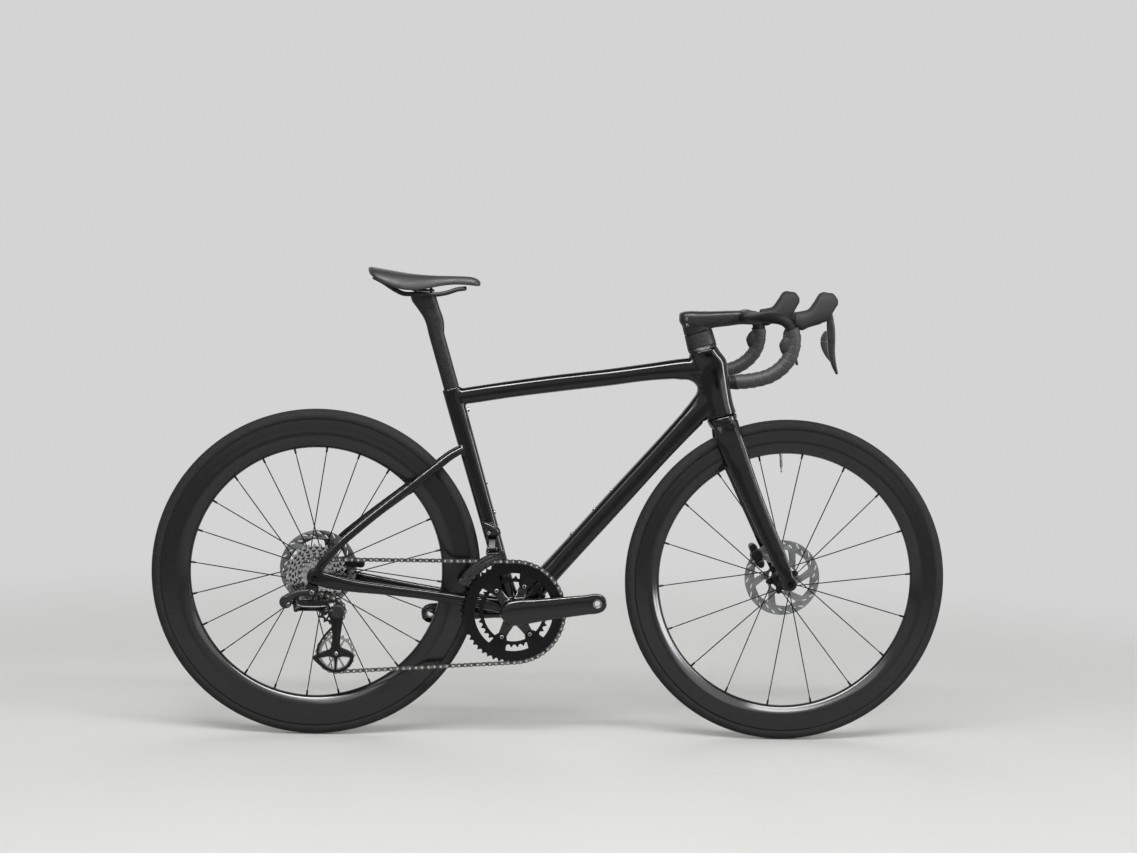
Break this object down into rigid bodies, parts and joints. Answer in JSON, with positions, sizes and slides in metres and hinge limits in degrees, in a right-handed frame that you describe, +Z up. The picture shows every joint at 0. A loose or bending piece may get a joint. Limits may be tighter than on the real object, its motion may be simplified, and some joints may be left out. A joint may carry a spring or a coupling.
{
  "type": "road bicycle",
  "caption": "Drop-bar aero road bicycle with deep wheels, disc brakes, two chainrings, derailleurs, dropped seat stays and a short saddle.",
  "frame": {"origin": "on the ground, midway between the ends of the two tyres and in the bike's middle plane", "axes": "+X forward, +Y to the rider's left, +Z up; the chain is on the -Y side"},
  "size_m": [1.654, 0.455, 0.9697],
  "materials": {
    "gloss_carbon": "gloss black painted carbon",
    "satin_carbon": "satin black carbon",
    "rubber": "matt black rubber",
    "tyre_rubber": "matt black tread and sidewall",
    "bar_tape": "matt black wrap",
    "saddle_cover": "satin black cover",
    "dark_alloy": "dark grey anodised",
    "bright_steel": "bright brushed",
    "chain_steel": "plated",
    "black_plastic": "semi-matt black",
    "brake_pad": "sintered, dull"
  },
  "bodies": {
    "frame_body": {"frame": "gloss_carbon", "derailleur_hanger": "dark_alloy", "headset_bearing_lower": "bright_steel", "headset_bearing_upper": "bright_steel", "headset_cover": "black_plastic", "bottom_bracket_cup_left": "dark_alloy", "bottom_bracket_cup_right": "dark_alloy", "rear_axle": "dark_alloy", "rear_caliper": "black_plastic", "chain": "chain_steel", "front_derailleur_body": "black_plastic", "rear_derailleur_bracket": "black_plastic", "seatpost_wedge_bolt": "bright_steel"},
    "seatpost_body": {"seatpost": "satin_carbon", "saddle_clamp": "dark_alloy"},
    "saddle_body": {"saddle": "saddle_cover", "saddle_rails": "satin_carbon"},
    "steering": {"fork": "gloss_carbon", "stem": "satin_carbon", "handlebar": "satin_carbon", "headset_spacers": "black_plastic", "bar_tape_left": "bar_tape", "bar_tape_right": "bar_tape", "brake_hood_left": "rubber", "brake_hood_right": "rubber", "front_axle": "dark_alloy", "front_caliper": "black_plastic"},
    "front_wheel": {"front_hub": "dark_alloy", "front_rim": "gloss_carbon", "front_tyre": "tyre_rubber", "front_rotor": "bright_steel"},
    "rear_wheel": {"rear_hub": "dark_alloy", "rear_rim": "gloss_carbon", "rear_tyre": "tyre_rubber", "rear_rotor": "bright_steel"},
    "sprockets": {"cassette": "bright_steel"},
    "cranks": {"crank_left": "gloss_carbon", "crank_right": "gloss_carbon", "chainring_outer": "dark_alloy", "chainring_inner": "dark_alloy"},
    "rd_outer_link": {"rear_derailleur_outer_link": "black_plastic"},
    "rd_inner_link": {"rear_derailleur_inner_link": "black_plastic"},
    "rd_knuckle": {"rear_derailleur_knuckle": "black_plastic"},
    "rd_cage": {"rear_derailleur_cage": "dark_alloy"},
    "guide_wheel": {"guide_pulley": "black_plastic"},
    "tension_wheel": {"tension_pulley": "black_plastic"},
    "fd_outer_link": {"front_derailleur_outer_link": "black_plastic"},
    "fd_inner_link": {"front_derailleur_inner_link": "black_plastic"},
    "fd_cage": {"front_derailleur_cage": "bright_steel"},
    "lever_left": {"brake_lever_left": "satin_carbon"},
    "lever_right": {"brake_lever_right": "satin_carbon"},
    "button_upper_left": {"shift_button_upper_left": "black_plastic"},
    "button_lower_left": {"shift_button_lower_left": "black_plastic"},
    "button_upper_right": {"shift_button_upper_right": "black_plastic"},
    "button_lower_right": {"shift_button_lower_right": "black_plastic"},
    "front_pad_outer": {"front_brake_pad_outer": "brake_pad"},
    "front_pad_inner": {"front_brake_pad_inner": "brake_pad"},
    "rear_pad_outer": {"rear_brake_pad_outer": "brake_pad"},
    "rear_pad_inner": {"rear_brake_pad_inner": "brake_pad"}
  },
  "joints": [
    {"name": "steering_turn", "type": "hinge", "parent": "frame_body", "child": "steering", "pos_m": [0.44686, 0, 0.32536], "axis": [-0.2874, 0, 0.9578], "range_deg": [-60, 60]},
    {"name": "front_wheel_spin", "type": "hinge", "parent": "steering", "child": "front_wheel", "pos_m": [0.489, 0, 0.338], "axis": [0, 1, 0], "continuous": true},
    {"name": "rear_wheel_spin", "type": "hinge", "parent": "frame_body", "child": "rear_wheel", "pos_m": [-0.489, 0, 0.338], "axis": [0, 1, 0], "continuous": true},
    {"name": "crank_spin", "type": "hinge", "parent": "frame_body", "child": "cranks", "pos_m": [-0.08198, 0, 0.268], "axis": [0, 1, 0], "continuous": true, "deforming": ["chain"]},
    {"name": "sprockets_spin", "type": "hinge", "parent": "frame_body", "child": "sprockets", "pos_m": [-0.489, 0, 0.338], "axis": [0, 1, 0], "continuous": true, "deforming": ["chain"]},
    {"name": "seatpost_height", "type": "slide", "parent": "frame_body", "child": "seatpost_body", "axis": [-0.2907, 0, 0.9568], "range_m": [-0.08, 0.06]},
    {"name": "saddle_setback", "type": "slide", "parent": "seatpost_body", "child": "saddle_body", "axis": [1, 0, 0], "range_m": [-0.012, 0.012]},
    {"name": "rd_outer_link_shift", "type": "hinge", "parent": "frame_body", "child": "rd_outer_link", "pos_m": [-0.523, -0.088, 0.284], "axis": [-0.1945, 0.6411, 0.7424], "range_deg": [-25, 34], "deforming": ["chain"]},
    {"name": "rd_inner_link_shift", "type": "hinge", "parent": "frame_body", "child": "rd_inner_link", "pos_m": [-0.5263, -0.07932, 0.27564], "axis": [-0.1945, 0.6411, 0.7424], "range_deg": [-25, 34], "deforming": ["chain"]},
    {"name": "rd_knuckle_pivot", "type": "hinge", "parent": "rd_outer_link", "child": "rd_knuckle", "pos_m": [-0.468, -0.069, 0.282], "axis": [-0.1945, 0.6411, 0.7424], "range_deg": [-34, 25], "deforming": ["chain"]},
    {"name": "rd_cage_pivot", "type": "hinge", "parent": "rd_knuckle", "child": "rd_cage", "pos_m": [-0.443, -0.0464, 0.266], "axis": [0, 1, 0], "range_deg": [-15, 30], "stiffness_Nm_per_rad": 0.6, "deforming": ["chain"]},
    {"name": "guide_wheel_spin", "type": "hinge", "parent": "rd_cage", "child": "guide_wheel", "pos_m": [-0.455, -0.0464, 0.264], "axis": [0, 1, 0], "continuous": true, "deforming": ["chain"]},
    {"name": "tension_wheel_spin", "type": "hinge", "parent": "rd_cage", "child": "tension_wheel", "pos_m": [-0.444, -0.0464, 0.177], "axis": [0, 1, 0], "continuous": true, "deforming": ["chain"]},
    {"name": "fd_outer_link_shift", "type": "hinge", "parent": "frame_body", "child": "fd_outer_link", "pos_m": [-0.13, -0.032, 0.416], "axis": [1, 0, 0], "range_deg": [-3, 22], "deforming": ["chain"]},
    {"name": "fd_inner_link_shift", "type": "hinge", "parent": "frame_body", "child": "fd_inner_link", "pos_m": [-0.13, -0.023, 0.412], "axis": [1, 0, 0], "range_deg": [-3, 22], "deforming": ["chain"]},
    {"name": "fd_cage_pivot", "type": "hinge", "parent": "fd_outer_link", "child": "fd_cage", "pos_m": [-0.13, -0.044, 0.399], "axis": [1, 0, 0], "range_deg": [-22, 3], "deforming": ["chain"]},
    {"name": "lever_pull_left", "type": "hinge", "parent": "steering", "child": "lever_left", "pos_m": [0.517, 0.2065, 0.903], "axis": [0, 1, 0], "range_deg": [0, 25], "stiffness_Nm_per_rad": 1.5, "springref_deg": -5.73},
    {"name": "button_press_upper_left", "type": "hinge", "parent": "lever_left", "child": "button_upper_left", "pos_m": [0.51744, 0.20949, 0.85625], "axis": [0, 0, -1], "range_deg": [0, 4], "stiffness_Nm_per_rad": 0.05, "springref_deg": -2.86},
    {"name": "button_press_lower_left", "type": "hinge", "parent": "lever_left", "child": "button_lower_left", "pos_m": [0.51867, 0.21089, 0.8329], "axis": [0, 0, -1], "range_deg": [0, 4], "stiffness_Nm_per_rad": 0.05, "springref_deg": -2.86},
    {"name": "lever_pull_right", "type": "hinge", "parent": "steering", "child": "lever_right", "pos_m": [0.517, -0.2065, 0.903], "axis": [0, 1, 0], "range_deg": [0, 25], "stiffness_Nm_per_rad": 1.5, "springref_deg": -5.73},
    {"name": "button_press_upper_right", "type": "hinge", "parent": "lever_right", "child": "button_upper_right", "pos_m": [0.51744, -0.20949, 0.85625], "axis": [0, 0, 1], "range_deg": [0, 4], "stiffness_Nm_per_rad": 0.05, "springref_deg": -2.86},
    {"name": "button_press_lower_right", "type": "hinge", "parent": "lever_right", "child": "button_lower_right", "pos_m": [0.51867, -0.21089, 0.8329], "axis": [0, 0, 1], "range_deg": [0, 4], "stiffness_Nm_per_rad": 0.05, "springref_deg": -2.86},
    {"name": "front_pad_outer_press", "type": "slide", "parent": "steering", "child": "front_pad_outer", "axis": [0, -1, 0], "range_m": [0, 0.00051]},
    {"name": "front_pad_inner_press", "type": "slide", "parent": "steering", "child": "front_pad_inner", "axis": [0, 1, 0], "range_m": [0, 0.00051]},
    {"name": "rear_pad_outer_press", "type": "slide", "parent": "frame_body", "child": "rear_pad_outer", "axis": [0, -1, 0], "range_m": [0, 0.00051]},
    {"name": "rear_pad_inner_press", "type": "slide", "parent": "frame_body", "child": "rear_pad_inner", "axis": [0, 1, 0], "range_m": [0, 0.00051]}
  ],
  "couplings": [
    {"joint": "sprockets_spin", "follows": "crank_spin", "ratio": 3.25},
    {"joint": "guide_wheel_spin", "follows": "crank_spin", "ratio": -4},
    {"joint": "tension_wheel_spin", "follows": "crank_spin", "ratio": 2.7368},
    {"joint": "rd_inner_link_shift", "follows": "rd_outer_link_shift", "ratio": 1},
    {"joint": "rd_knuckle_pivot", "follows": "rd_outer_link_shift", "ratio": -1},
    {"joint": "fd_inner_link_shift", "follows": "fd_outer_link_shift", "ratio": 1},
    {"joint": "fd_cage_pivot", "follows": "fd_outer_link_shift", "ratio": -1},
    {"joint": "front_pad_outer_press", "follows": "lever_pull_left", "m_per_rad": 0.0011459},
    {"joint": "front_pad_inner_press", "follows": "lever_pull_left", "m_per_rad": 0.0011459},
    {"joint": "rear_pad_outer_press", "follows": "lever_pull_right", "m_per_rad": 0.0011459},
    {"joint": "rear_pad_inner_press", "follows": "lever_pull_right", "m_per_rad": 0.0011459}
  ]
}
